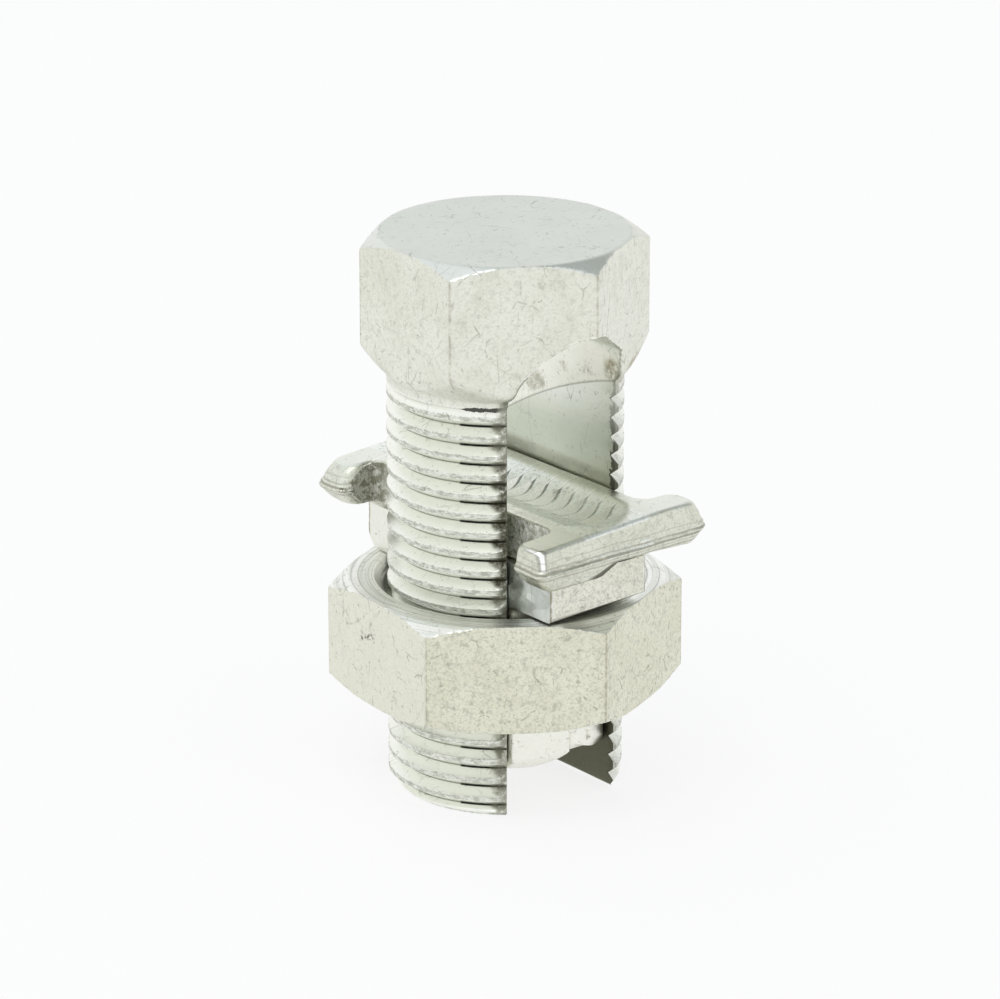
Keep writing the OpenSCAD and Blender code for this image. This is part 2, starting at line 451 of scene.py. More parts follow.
def bar_field(x, y, z):
    top, bottom = bar_hi[2], BAR_Z
    mid = (top + bottom) / 2
    half_y = bar_hi[1]
    rough = 0.05 * waviness(x, y, z, 2.6, 5)
    ax = np.abs(x) + np.where(z > BAR_Z, rough + 0.03, 0.0)
    block = rounded_box(ax, y, z, (0, 0, mid), (BAR_HALF, half_y, (top - bottom) / 2), 0.12)
    big = (BAR_HALF + 3, half_y + 10, (top - bottom) / 2 + 4)
    back = rounded_box(x, y, z, (0, -10, mid + 4), big, 1.8)
    lift = bottom + 0.15 + 0.045 * (x + BAR_HALF)
    front = ((half_y - 0.35 + y) * -0.6 + (lift + 0.35 - z) * 0.8) - 0.28
    slant = lift - z - 0.5 * np.maximum(y + TONGUE_R + 0.4, 0)
    block = np.maximum(np.maximum(block, back), np.maximum(np.maximum(front, slant), -half_y - y))
    r = length(x, y)
    tongue = softmax(r - TONGUE_R, TONGUE_Z - z, 0.5)
    tongue = softmax(tongue, ((r - TONGUE_R + 1.0) + (TONGUE_Z - z)) * 0.707, 0.3)
    tongue = np.maximum(softmax(tongue, np.abs(x) - (BAR_HALF - 0.02), 0.4), z - mid)
    tongue = np.maximum(tongue, -stake_field(x, y, z))
    return softmin(block, tongue, 0.3)


def stake_field(x, y, z):
    """What the two stakes take off the tongue: a notch in its lower edge and a square punch mark.

    They sit at opposite corners, one turned half a turn from the other about the bolt's axis.
    """
    turned = np.where(y > 0, -1.0, 1.0)
    x, y = x * turned, y * turned
    up = z - TONGUE_Z
    side = np.where(x < 1.0, (1.0 - x) * 0.42, (x - 1.0) * 0.36)
    notch = np.maximum(up - 1.75 + side, y + TONGUE_R - 3.0)
    groove = length((x - 0.75) / 1.3, (y + TONGUE_R + 0.25)) * 0.8 - 0.5
    groove = np.maximum(groove, -up)
    px, pz = np.abs(x - 2.6), np.abs(up - 2.3)
    depth = y + TONGUE_R - 0.35
    pit = np.maximum(px, pz) + 0.9 * np.maximum(depth, 0) - 0.42
    return np.minimum(np.minimum(notch, groove), pit)


def make_bar(material):
    margin = 0.45
    verts, faces = contour(bar_field, bar_lo - margin, bar_hi + margin, h=0.22)
    return make_object("pressure_bar_looks", verts, faces, material, sharp=30)


# ---- Spacer ----

WEB_HALF = SLOT_HALF - 0.55
SPACER_X = 0.275
SPACER_YAW = math.atan2(0.205, math.sqrt(THREAD_R**2 - SLOT_HALF**2))
WING_HALF, WING_WIDE, SPACER_HALF = 10.2, 4.3, 17.0
TROUGH_HALF, TROUGH_DEPTH = 3.7, 0.8
TROUGH_R = (TROUGH_HALF**2 + TROUGH_DEPTH**2) / (2 * TROUGH_DEPTH)
TOOTH_X, TOOTH_HALF, TOOTH_LONG, TOOTH_DEPTH = 0.25, 2.45, 1.45, 0.2
TOOTH_PITCH, TOOTH_COUNT, TOOTH_TURN = 1.77, 15, math.radians(3)
TOOTH_SKEW = 0.65

# how far a wing draws in from its moulding ridge at each height: along the slot, and at its ends
WING_LEVELS = [-0.7, 0.0, 0.5, 1.0, 1.5, 1.75, 1.95, 2.12, 2.4, 2.55, 3.2, 4.0, 4.6, 5.0]
WING_SIDE = [1.2, 0.8, 0.55, 0.32, 0.18, 0.06, 0.0, 0.14, 0.11, 0.22, 0.30, 0.45, 0.65, 0.9]
WING_END = {
    -1: [2.3, 1.7, 1.2, 0.75, 0.35, 0.1, 0.0, 0.14, 0.12, 0.20, 0.24, 0.30, 0.42, 0.6],
    1: [2.3, 1.7, 1.2, 0.75, 0.35, 0.1, 0.0, 0.14, 0.14, 0.26, 0.50, 0.95, 1.4, 1.9],
}
TOP_LEAN = 0.06
RIDGE_LEAN = 0.03


def spacer_place(x, y):
    """Plan coordinates in the spacer's own frame: it leans on the far leg, turned a little."""
    c, sn = math.cos(SPACER_YAW), math.sin(SPACER_YAW)
    return (x - SPACER_X) * c + y * sn, y * c - (x - SPACER_X) * sn


def level_of(x, z):
    """Height in a spacer whose top did not lean: above the moulding ridge the top falls towards -X."""
    ridge, high = spacer_lo[2] + 2.0, spacer_hi[2]
    drop = TOP_LEAN * np.maximum(WEB_HALF - x, 0)
    return np.where(z > ridge, ridge + (z - ridge) * (high - ridge) / (high - ridge - drop), z)


def tooth_bites(x, y, z, trough_z):
    """Row of chisel bites in the trough: straight at the tips, deepest along a curved wall."""
    c, sn = math.cos(TOOTH_TURN), math.sin(TOOTH_TURN)
    x, y = (x - TOOTH_X) * c + y * sn, y * c - (x - TOOTH_X) * sn
    last = TOOTH_COUNT // 2
    row = np.clip(np.round(y / TOOTH_PITCH), -last, last)
    v = y - row * TOOTH_PITCH - TOOTH_LONG / 2
    u = np.clip((x + TOOTH_HALF) / (2 * TOOTH_HALF), 1e-4, 1)
    wall = -v - TOOTH_LONG * np.sin(math.pi * u**TOOTH_SKEW)
    depth = TOOTH_DEPTH * (0.1 - v / TOOTH_LONG)
    bite = np.maximum(np.maximum(0.7 * wall, v - 0.12), np.abs(x) - TOOTH_HALF)
    return np.maximum(bite, trough_z - depth - z)


def spacer_field(x, y, z):
    x, y = spacer_place(x, y)
    z = level_of(x, z)
    low, top = spacer_lo[2], spacer_hi[2]
    mid, half = (low + top) / 2, (top - low) / 2
    wing_y = SPACER_HALF - WING_WIDE / 2
    ay = np.abs(y)
    web = rounded_box(x, y, z, (0, 0, mid), (WEB_HALF, wing_y, half), 0.3)
    up = z - low - RIDGE_LEAN * (x + WING_HALF)
    side = np.interp(up, WING_LEVELS, WING_SIDE)
    sharp = (x < 0) & (y < 0)
    near, far = (np.interp(up, WING_LEVELS, WING_END[k]) for k in (-1, 1))
    end = np.where(sharp, near, far)
    end = end + np.where((x < 0) & (y > 0), 0.5, 0.0)
    side = np.where(ay > wing_y, side, side * 0.3)
    size = (WING_HALF - end, WING_WIDE / 2 - side, 9)
    plan = rounded_box(x, ay, 0 * z, (0, wing_y, 0), size, np.where(sharp, 0.85, 1.5))
    wing = softmax(plan, np.abs(z - mid) - half, 0.45)
    d = softmin(web, wing, 1.1)
    d = np.maximum(d, np.abs(z - mid) - half)
    d = np.maximum(d, ay - SPACER_HALF)
    rise = 0.3 * np.maximum(ay - 12.6, 0)
    trough = length(x, z - (top - TROUGH_DEPTH + TROUGH_R) - rise) - TROUGH_R
    d = softmax(d, -trough, 0.12)
    trough_z = top - TROUGH_DEPTH + TROUGH_R - np.sqrt(np.maximum(TROUGH_R**2 - x * x, 0)) + rise
    d = np.maximum(d, -tooth_bites(x, y, z, trough_z))
    return softmax(d, -under_cut(x, y, z), 0.12)


def under_cut(x, y, z):
    """What is missing under each wing's outer edge along one half: the moulding was not filled."""
    along = np.where(y < 0, x, -x)
    t = np.clip((along + 3.0) / 2.6, 0, 1)
    lift = 1.35 * t * t * (3 - 2 * t) - 0.25 - 0.05 * np.maximum(along - 3.0, 0)
    slope = (SPACER_HALF - 1.7 - np.abs(y)) * 0.25 + (z - spacer_lo[2] - lift) * 0.97
    off = (z - spacer_lo[2] - 0.62 - 0.16 * along) * 1.3
    hollow = length((along + 0.9) / 4.2, np.abs(y) - SPACER_HALF + 0.35, off) - 0.48
    return np.minimum(slope, hollow)


def make_spacer(material):
    margin = 0.4
    verts, faces = contour(spacer_field, spacer_lo - margin, spacer_hi + margin, h=0.18)
    return make_object("spacer_looks", verts, faces, material, sharp=30)


# ---- Materials ----


class Nodes:
    """Short hand for building a node tree."""

    def __init__(self, tree):
        self.tree = tree
        tree.nodes.clear()

    def add(self, kind, **settings):
        node = self.tree.nodes.new(kind)
        for key, value in settings.items():
            setattr(node, key, value)
        return node

    def link(self, a, b):
        self.tree.links.new(a, b)

    def feed(self, value, socket):
        if isinstance(value, (int, float, tuple)):
            socket.default_value = value
        else:
            self.link(value, socket)

    def math(self, op, a, b=0.0, clamp=False):
        node = self.add("ShaderNodeMath", operation=op, use_clamp=clamp)
        self.feed(a, node.inputs[0])
        self.feed(b, node.inputs[1])
        return node.outputs[0]

    def fold(self, op, total, *others):
        for other in others:
            total = self.math(op, total, other)
        return total

    def times(self, *values):
        return self.fold("MULTIPLY", *values)

    def plus(self, *values):
        return self.fold("ADD", *values)

    def minus(self, a, b):
        return self.math("SUBTRACT", a, b)

    def over(self, a, b, clamp=False):
        return self.math("DIVIDE", a, b, clamp)

    def lowest(self, *values):
        return self.fold("MINIMUM", *values)

    def highest(self, *values):
        return self.fold("MAXIMUM", *values)

    def size(self, a):
        return self.math("ABSOLUTE", a)

    def length(self, a, b):
        return self.math("SQRT", self.plus(self.times(a, a), self.times(b, b)))

    def ramp(self, value, low, high, a=0.0, b=1.0):
        """Runs smoothly from a to b while value goes from low to high."""
        node = self.add("ShaderNodeMapRange", interpolation_type="SMOOTHSTEP")
        self.feed(value, node.inputs["Value"])
        for key, v in (("From Min", low), ("From Max", high), ("To Min", a), ("To Max", b)):
            node.inputs[key].default_value = v
        return node.outputs[0]

    def ridge(self, value, level, inner, outer):
        """1 where value is within inner of level, falling to 0 at outer."""
        return self.ramp(self.size(self.minus(value, level)), inner, outer, 1.0, 0.0)

    def parts(self, vector):
        node = self.add("ShaderNodeSeparateXYZ")
        self.link(vector, node.inputs[0])
        return node.outputs

    def combine(self, a, b):
        node = self.add("ShaderNodeCombineXYZ")
        self.link(a, node.inputs[0])
        self.link(b, node.inputs[1])
        return node.outputs[0]

    def mapping(self, vector, location=(0, 0, 0), turn=(0, 0, 0), scale=(1, 1, 1)):
        node = self.add("ShaderNodeMapping")
        node.inputs["Location"].default_value = location
        node.inputs["Rotation"].default_value = turn
        node.inputs["Scale"].default_value = scale
        self.link(vector, node.inputs["Vector"])
        return node.outputs["Vector"]

    def noise(self, at, scale, detail, rough, distort=0.0, output="Fac"):
        node = self.add("ShaderNodeTexNoise")
        node.inputs["Scale"].default_value = scale
        node.inputs["Detail"].default_value = detail
        node.inputs["Roughness"].default_value = rough
        node.inputs["Distortion"].default_value = distort
        self.link(at, node.inputs["Vector"])
        return node.outputs[output]

    def voronoi(self, at, scale, feature):
        node = self.add("ShaderNodeTexVoronoi", feature=feature)
        node.inputs["Scale"].default_value = scale
        self.link(at, node.inputs["Vector"])
        return node.outputs

    def mix(self, factor, a, b):
        node = self.add("ShaderNodeMix", data_type="RGBA")
        self.feed(factor, node.inputs["Factor"])
        for value, socket in ((a, node.inputs[6]), (b, node.inputs[7])):
            self.feed((*value, 1.0) if isinstance(value, tuple) else value, socket)
        return node.outputs[2]

    def seen_directly(self):
        """1 for what the camera sees itself, in metal or through glass; 0 for the light it gives."""
        path = self.add("ShaderNodeLightPath").outputs
        return self.highest(path["Is Camera Ray"], path["Is Glossy Ray"], path["Is Transmission Ray"])


class Surface(Nodes):
    """A material with a Principled shader, and the object's own coordinates in metres."""

    def __init__(self, name):
        self.material = bpy.data.materials.new(name)
        self.material.use_nodes = True
        super().__init__(self.material.node_tree)
        self.out = self.add("ShaderNodeOutputMaterial")
        self.shader = self.add("ShaderNodeBsdfPrincipled")
        self.link(self.shader.outputs[0], self.out.inputs["Surface"])
        self.place = self.add("ShaderNodeTexCoord").outputs["Object"]


def shade(colour, factor):
    return tuple(c * factor for c in colour)


class Tin(Surface):
    """Tin-plated metal: satin and faintly mottled, with hairline scratches, specks and dabs of grime.

    x, y, z and r are in millimetres, theta is the angle about Z, and nx and nz are two parts of the
    normal, all in the object's own frame. The scales of noise are per metre.
    """

    GRIME = (0.225, 0.225, 0.165)
    ROUGH = 0.35
    # how dark each layer of scratches is, and its cells, width, share kept, squash and turn
    SCRATCHES = (
        (0.6, 6.5, 0.080, 0.55, (1, 1, 0.6), (0.3, 0.2, 0.1)),
        (0.7, 3.1, 0.070, 0.555),
        (0.55, 4.6, 0.065, 0.54, (1, 1, 0.3), (0.6, 0.3, 0.2)),
        (0.5, 1.5, 0.055, 0.56),
    )

    def __init__(self, name, base, seed, scuffs=1.0, grain=1.0):
        super().__init__(name)
        self.x, self.y, self.z = (self.times(c, 1 / MM) for c in self.parts(self.place))
        self.r = self.length(self.x, self.y)
        self.theta = self.math("ARCTAN2", self.y, self.x)
        normal = self.add("ShaderNodeTexCoord").outputs["Normal"]
        self.nx, _, self.nz = self.parts(normal)
        self.seeded = self.mapping(self.place, location=(seed, seed * 0.7, seed * 1.3))
        self.cloud = self.wear(150, 5, 0.62)
        self.fine = self.wear(1700, 4, 0.65)

        layers = [self.times(self.scratches(*layer), dark) for dark, *layer in self.SCRATCHES]
        marks = self.highest(*layers)
        marks = self.times(marks, self.ramp(self.wear(260, 4, 0.65), 0.40, 0.60, 0.25, 1.0))
        dots = self.ramp(self.wear(2300, 2, 0.5), 0.665, 0.73, 0.0, 0.5)
        dabs = self.ramp(self.wear(520, 4, 0.72, 0.6), 0.665, 0.73, 0.0, 0.4)
        self.marks = self.math("MULTIPLY", self.highest(marks, dots, dabs), 0.62 * scuffs, clamp=True)

        dull = (*shade(base[:2], 0.95), base[2] * 0.92)
        light = tuple(min(1.0, c) for c in shade(base, 1.03))
        self.colour = self.mix(self.ramp(self.cloud, 0.36, 0.64), dull, light)
        smudge = self.ramp(self.wear(330, 5, 0.7, 0.4), 0.52, 0.70, 0.0, 0.34)
        self.blend(smudge, (*shade(base[:2], 0.72), base[2] * 0.64))
        self.blend(self.ramp(self.fine, 0.50, 0.70, 0.0, 0.30 * grain), shade(base, 0.62))
        speck = self.ramp(self.wear(4200, 2, 0.6), 0.47, 0.63, 0.0, 0.15 * grain)
        self.blend(speck, shade(base, 0.55))
        self.rough = self.ramp(self.cloud, 0.3, 0.7, 0.30, 0.40)
        self.height = self.plus(self.times(self.cloud, 0.9), self.times(self.fine, 0.35 * grain))

    def wear(self, scale, detail, rough, distort=0.0):
        """Noise that no two pieces share."""
        return self.noise(self.seeded, scale, detail, rough, distort)

    def scratches(self, cell, width, keep, squash=(1, 1, 1), turn=(0, 0, 0)):
        """Fine scratches: pieces of the borders between random cells, of which noise keeps a few."""
        place = self.mapping(self.seeded, turn=turn, scale=squash)
        wander = self.add("ShaderNodeVectorMath", operation="SCALE")
        wander.inputs["Scale"].default_value = 0.00035 * cell
        self.link(self.noise(place, 1400 / cell, 2, 0.5, output="Color"), wander.inputs[0])
        bent = self.add("ShaderNodeVectorMath", operation="ADD")
        self.link(place, bent.inputs[0])
        self.link(wander.outputs["Vector"], bent.inputs[1])
        cells = self.voronoi(bent.outputs["Vector"], 1000 / cell, "DISTANCE_TO_EDGE")
        half = width / cell
        line = self.ramp(cells["Distance"], half * 0.25, half, 1.0, 0.0)
        return self.times(line, self.ramp(self.wear(1900 / cell, 3, 0.65), keep, keep + 0.05))

    def hex_edges(self, turn, width=0.22):
        """1 along the upright edges of a hexagon about Z, falling to 0 over width."""
        reach = []
        for k in range(3):
            a = turn + k * math.pi / 3
            across = self.plus(self.times(self.x, math.cos(a)), self.times(self.y, math.sin(a)))
            reach.append(self.size(across))
        top = self.highest(*reach)
        middle = self.minus(self.minus(self.plus(*reach), top), self.lowest(*reach))
        return self.ramp(self.minus(top, middle), 0.0, width, 1.0, 0.0)

    def blend(self, mask, colour, rough=None):
        """Lays another finish over the metal where mask is 1."""
        self.colour = self.mix(mask, self.colour, colour)
        if rough is not None:
            self.rough = self.plus(self.rough, self.times(mask, rough - self.ROUGH))

    def raise_by(self, mask, amount):
        self.height = self.plus(self.height, self.times(mask, amount))

    def finish(self):
        self.link(self.mix(self.marks, self.colour, self.GRIME), self.shader.inputs["Base Color"])
        self.shader.inputs["Metallic"].default_value = 1.0
        rough = self.math("ADD", self.rough, self.times(self.marks, 0.3), clamp=True)
        self.link(rough, self.shader.inputs["Roughness"])
        bump = self.add("ShaderNodeBump")
        bump.inputs["Strength"].default_value = 0.55
        bump.inputs["Distance"].default_value = 0.06 * MM
        self.link(self.minus(self.height, self.times(self.marks, 0.7)), bump.inputs["Height"])
        self.link(bump.outputs["Normal"], self.shader.inputs["Normal"])
        return self.material


def finish_head(t):
    """Edges worn dull; painted shade makes the top darker and cooler, and painted reflection makes the
    bevels paler.
    """
    edge = t.times(t.hex_edges(0.0), t.ramp(t.z, HEAD_Z, HEAD_Z + 1.5), t.ramp(t.r, 12.2, 12.6))
    t.blend(t.times(edge, t.ramp(t.fine, 0.35, 0.6, 0.1, 0.6)), (0.42, 0.39, 0.30), 0.5)
    at_top = t.ramp(t.z, BOLT_TOP - 1.3, BOLT_TOP - 1.1)
    # painted shade: the flat top is painted darker and cooler than the rest
    t.blend(t.times(at_top, t.ramp(t.nz, 0.93, 0.97), 0.85), (0.665, 0.695, 0.65))
    # painted reflection: the bevels are painted paler, bluer on the left and yellower on the right
    bevel = t.times(at_top, t.ramp(t.nz, 0.97, 0.95), t.ramp(t.nz, 0.3, 0.5), 0.7)
    t.blend(bevel, t.mix(t.ramp(t.x, -3, 3), (0.76, 0.79, 0.77), (0.75, 0.765, 0.70)))


def finish_thread(t):
    """Smooth flanks and rough crests, with painted shade in the roots: dark all along, and black lines
    where the roots meet the slot.
    """
    turns = t.minus(t.over(t.minus(t.z, THREAD_START), PITCH), t.over(t.theta, 2 * math.pi))
    turn = t.minus(turns, t.math("FLOOR", turns))
    to_root = t.times(t.lowest(turn, t.minus(1.0, turn)), PITCH)
    off_axis = t.size(t.x)
    shank = t.times(
        t.ramp(t.z, HEAD_Z - 0.2, HEAD_Z - 1.0),
        t.ramp(off_axis, SLOT_HALF + 0.02, SLOT_HALF + 0.15),
    )
    t.blend(t.times(shank, 0.85), (0.96, 0.975, 0.91))
    ragged = t.plus(to_root, t.times(t.minus(t.wear(1500, 3, 0.7), 0.5), 0.4))
    torn = t.noise(t.mapping(t.place, scale=(1300, 1300, 3200)), 1.0, 4, 0.75)
    crest = t.times(t.ramp(ragged, 0.66, 0.74), shank, t.ramp(torn, 0.36, 0.64, 0.2, 0.9))
    t.blend(crest, (0.45, 0.465, 0.395), 0.5)
    t.raise_by(crest, -0.9)
    # painted shade darkens the bottom of every root
    t.blend(t.times(t.ramp(to_root, 0.03, 0.075, 1.0, 0.0), shank, 0.6), (0.36, 0.36, 0.31), 0.5)

    # painted shade: thin black lines down the leg's roots, and a ragged black wedge where the thread dies
    # out at the neck
    neck = (HEAD_Z - 1.4, HEAD_Z - 1.2)
    line = t.ramp(t.z, neck[1], neck[0], 0.0, 0.085)
    wedge = t.times(
        t.ramp(t.y, -5.2, -6.6),
        t.ramp(t.fine, 0.3, 0.7, 0.12, 0.26),
        t.ramp(t.z, *neck),
    )
    black = t.times(
        t.math("LESS_THAN", to_root, t.highest(line, wedge)),
        t.ramp(off_axis, SLOT_HALF + 0.1, SLOT_HALF + 0.4),
        t.ramp(t.over(t.y, t.r), -0.448, -0.468),
        t.ramp(t.z, HEAD_Z - 0.1, HEAD_Z - 0.3),
        0.92,
    )
    t.blend(black, (0.04, 0.04, 0.035), 0.5)


def finish_torn_strip(t):
    """The torn strip where the slot cuts the thread, strongest on the near leg, and darker with painted
    shade where the spacer sits.
    """
    ragged = t.plus(t.size(t.x), t.times(t.wear(700, 3, 0.6), 0.8))
    torn = t.times(
        t.ramp(ragged, SLOT_HALF + 2.1, SLOT_HALF + 1.45),
        t.ramp(t.r, 8.0, 8.6),
        t.ramp(t.z, HEAD_Z + 0.6, HEAD_Z - 0.4),
        t.ramp(t.size(t.nx), 0.97, 0.93),
        t.ramp(t.x, 0, 1, 1.0, 0.2),
        t.ramp(t.wear(1700, 4, 0.75), 0.32, 0.56, 0.1, 0.95),
    )
    # painted shade: the strip is darker from about 23 to 31 mm up, beside the spacer
    spacer_shade = t.times(t.ramp(t.z, 36, 31), t.ramp(t.z, 21, 23))
    t.blend(torn, t.mix(spacer_shade, (0.42, 0.42, 0.35), (0.15, 0.145, 0.095)), 0.55)
    t.raise_by(torn, -0.8)


def finish_walls(t):
    """The slot's walls: drawn smooth low down, left rough and stained above a curved limit, with painted
    shade low in the slot, above the spacer and low on the far leg.
    """
    far_leg = t.ramp(t.x, 0, 1)
    inside = t.highest(t.ramp(t.size(t.nx), 0.85, 0.95), t.ramp(t.nz, -0.1, -0.3))
    wall = t.times(inside, t.ramp(t.size(t.x), SLOT_HALF + 0.10, SLOT_HALF + 0.03))
    limit = t.minus(t.minus(37.05, t.times(t.y, 0.44)), t.times(t.y, t.y, 0.012))
    above = t.minus(t.z, limit)
    drawn = t.times(wall, t.ramp(above, 0.06, -0.02))
    t.blend(t.times(drawn, t.ramp(t.cloud, 0.3, 0.7, 0.6, 0.95)), (0.94, 0.965, 0.91))
    # painted shade: the drawn wall darkens towards the bottom of the slot
    t.blend(t.times(drawn, t.ramp(t.z, 38.0, 33.5, 0.0, 0.68)), (0.58, 0.615, 0.49))
    # painted shade: a dark band on the walls just above the spacer's top
    contact_shade = t.times(
        wall,
        t.ramp(t.z, 31.3, 30.4),
        t.ramp(t.z, 28.5, 29.2),
        t.ramp(t.cloud, 0.3, 0.6, 0.35, 0.68),
    )
    t.blend(contact_shade, (0.31, 0.31, 0.23), 0.5)
    # painted shade: the far leg's wall is nearly black below 10 mm
    t.blend(t.times(wall, t.ramp(t.z, 10, 9), far_leg, 0.95), (0.095, 0.092, 0.058), 0.45)
    streak = t.noise(t.mapping(t.place, scale=(0.1, 0.25, 6.0)), 300, 4, 0.6)
    t.raise_by(t.times(drawn, t.ramp(streak, 0.4, 0.6)), 0.18)

    t.blend(t.times(wall, t.ridge(above, 0.02, 0.02, 0.12), 0.55), (0.30, 0.29, 0.24), 0.45)
    t.blend(t.times(wall, t.ramp(above, 0.1, 0.3), 0.85), (0.97, 0.97, 0.89))
    blotch = t.times(
        wall,
        t.ramp(above, 0.1, 0.8),
        t.ramp(above, 4.2, 1.8),
        t.ramp(t.wear(420, 5, 0.75), 0.50, 0.66),
    )
    t.blend(t.times(blotch, 0.6), (0.38, 0.36, 0.26), 0.5)
    from_stain = t.length(t.plus(t.y, 8.4), t.minus(t.z, 41.0))
    stain = t.times(t.ramp(from_stain, 1.6, 0.5), far_leg, t.ramp(t.fine, 0.35, 0.6), 0.75)
    t.blend(stain, (0.36, 0.31, 0.18), 0.5)


def finish_burr(t):
    """The dark, ragged edge of the far leg's wall, faint up the slot and below the nut."""
    burr = t.times(
        t.ramp(t.plus(t.r, t.ramp(t.wear(900, 4, 0.7), 0.3, 0.7, -0.3, 0.3)), 10.12, 10.24),
        t.ramp(t.x, SLOT_HALF + 0.3, SLOT_HALF + 0.2),
        t.ramp(t.x, 0, 1),
        t.ramp(t.z, 38, 33, 0.35, 0.9),
        t.ramp(t.z, 10, 13, 0.35, 1.0),
        t.ramp(t.z, 1, 2),
        t.ramp(t.z, HEAD_Z, HEAD_Z - 0.6),
    )
    t.blend(burr, (0.10, 0.10, 0.07), 0.55)


def bolt_material():
    t = Tin("bolt_tin", (0.82, 0.83, 0.75), seed=0.0, grain=1.3)
    for zone in (finish_head, finish_thread, finish_torn_strip, finish_walls, finish_burr):
        zone(t)
    return t.finish()


def nut_material():
    t = Tin("nut_tin", (0.79, 0.785, 0.66), seed=0.31, scuffs=1.3, grain=2.3)
    edge = t.times(t.hex_edges(NUT_TURN), t.ramp(t.r, 15.0, 15.4))
    t.blend(t.times(edge, t.ramp(t.fine, 0.35, 0.6, 0.2, 0.75)), (0.36, 0.33, 0.24), 0.5)
    # painted light: the faces turned towards -X are painted paler and cooler
    t.blend(t.ramp(t.nx, -0.85, -0.97, 0.0, 0.6), (0.81, 0.825, 0.73))

    # both faces and their bevels are turned
    faced = t.times(t.ramp(t.size(t.nz), 0.5, 0.65), t.ramp(t.r, 10.5, 11.2))
    rings = t.noise(t.combine(t.times(t.r, 4.2), t.times(t.theta, 0.35)), 1.0, 3, 0.7)
    wide = t.noise(t.combine(t.times(t.r, 1.3), t.times(t.theta, 0.5)), 1.0, 2, 0.5)
    tones = t.mix(t.ramp(wide, 0.40, 0.60), (1.0, 1.0, 0.98), (0.82, 0.85, 0.80))
    t.blend(t.times(faced, 0.85), tones)
    t.blend(t.times(faced, t.ramp(rings, 0.50, 0.62), 0.68), (0.42, 0.43, 0.38))
    t.raise_by(t.times(faced, rings), 2.2)

    # one long dark scuff on the left face
    y, z = t.minus(t.y, 2.6), t.minus(t.z, 16.3)
    scuff = t.times(
        t.ridge(y, 0.0, 0.9, 1.7),
        t.ridge(t.plus(z, t.times(y, 0.38)), 0.0, 0.10, 0.42),
        t.ramp(t.x, -12, -13),
        t.ramp(t.wear(2400, 3, 0.7), 0.44, 0.56),
        0.85,
    )
    t.blend(scuff, (0.14, 0.13, 0.10), 0.55)
    return t.finish()


def bar_material():
    t = Tin("bar_tin", (0.81, 0.81, 0.715), seed=0.53, scuffs=1.2, grain=2.8)
    end = bar_hi[1]
    off_axis, along = t.size(t.x), t.size(t.y)

    # the block's sides: creamy behind, and bluer with flat dents in front, each dent given a lighter or
    # darker blue as a painted reflection
    side = t.times(t.ramp(off_axis, BAR_HALF - 0.35, BAR_HALF - 0.15), t.ramp(t.z, BAR_Z, BAR_Z + 0.2))
    t.blend(t.times(side, t.ramp(t.y, 0, 6, 0.0, 0.8)), (0.88, 0.89, 0.82))
    dents = t.voronoi(t.mapping(t.place, turn=(0.5, 0, 0), scale=(1, 0.75, 1)), 620, "F1")
    tone = t.add("ShaderNodeSeparateColor")
    t.link(dents["Color"], tone.inputs[0])
    dented = t.times(side, t.ramp(t.y, 4, 0))
    # painted reflection: each dent is painted a lighter or darker blue, as its facet would reflect
    facet_reflections = t.mix(t.ramp(tone.outputs["Red"], 0.25, 0.75), (0.97, 1.0, 1.0), (0.68, 0.73, 0.71))
    t.blend(t.times(dented, 0.8), facet_reflections)
    t.raise_by(t.times(dented, dents["Distance"]), 1.5)

    # rubbed upright corners, a pale tongue, and a line of painted shade low on the ends
    corner = t.times(
        t.ramp(off_axis, BAR_HALF - 0.2, BAR_HALF - 0.1),
        t.ramp(along, end - 0.25, end - 0.1),
    )
    t.blend(t.times(corner, t.ramp(t.fine, 0.35, 0.6, 0.3, 0.9)), (0.36, 0.32, 0.22), 0.5)
    t.blend(t.ramp(t.z, BAR_Z - 9, BAR_Z - 10, 0.0, 0.85), (0.93, 0.93, 0.86))
    # painted shade: a dark line low on the ends, near their bottom edge
    low_shade_line = t.times(t.ramp(along, end - 0.3, end - 0.1), t.ridge(t.z, BAR_Z + 0.55, 0.04, 0.14), 0.5)
    t.blend(low_shade_line, (0.33, 0.31, 0.25))
    return t.finish()


